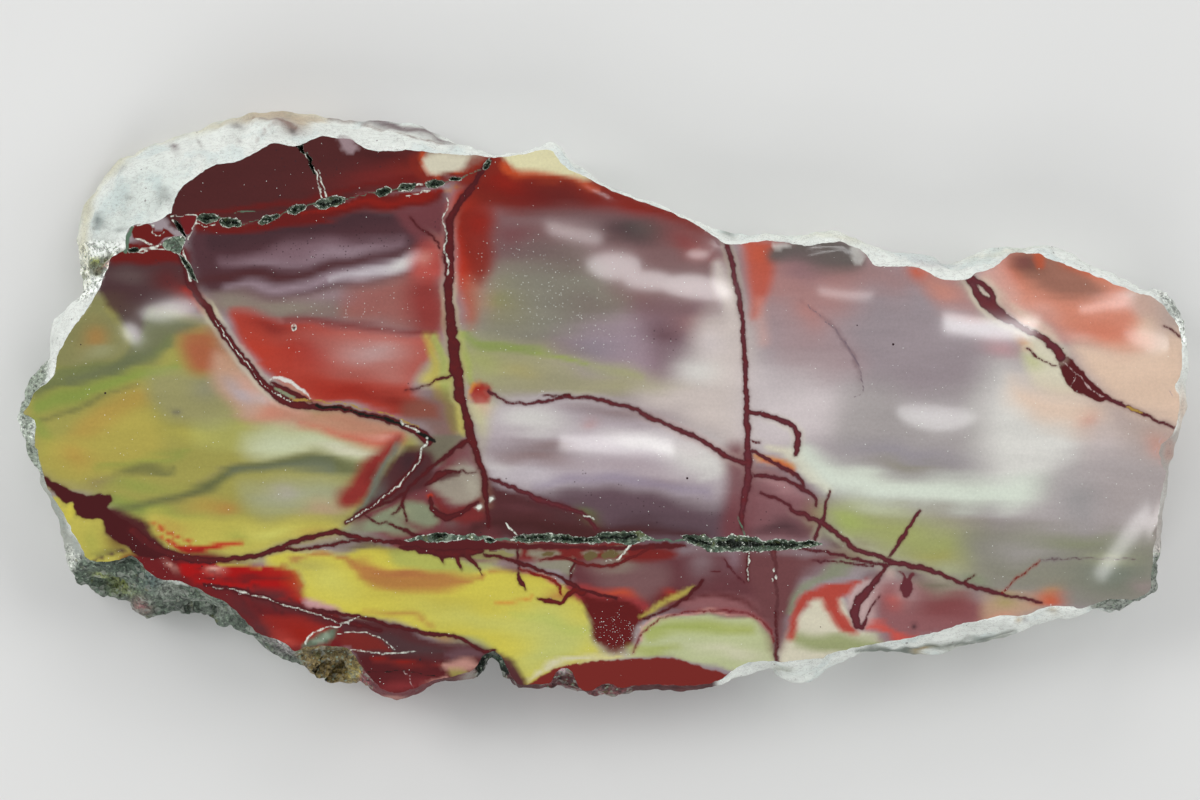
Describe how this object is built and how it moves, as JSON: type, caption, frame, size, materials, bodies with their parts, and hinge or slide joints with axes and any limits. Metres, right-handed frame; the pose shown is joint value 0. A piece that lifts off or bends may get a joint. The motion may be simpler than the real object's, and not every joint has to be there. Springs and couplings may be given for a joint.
{
  "type": "mookaite jasper slab",
  "caption": "Polished slab of multicoloured mookaite jasper with chalky rind and chipped edges, for display lying flat on its sawn back.",
  "frame": {"origin": "centre of the bounding box on the surface that the sawn back rests on", "axes": "+X along the slab's length towards its squarer end, +Y across it towards the thin upper edge, +Z out of the polished face"},
  "size_m": [0.3004, 0.1512, 0.025],
  "materials": {
    "polished_jasper": "polished"
  },
  "bodies": {
    "root": {"slab": "polished_jasper"}
  },
  "joints": []
}
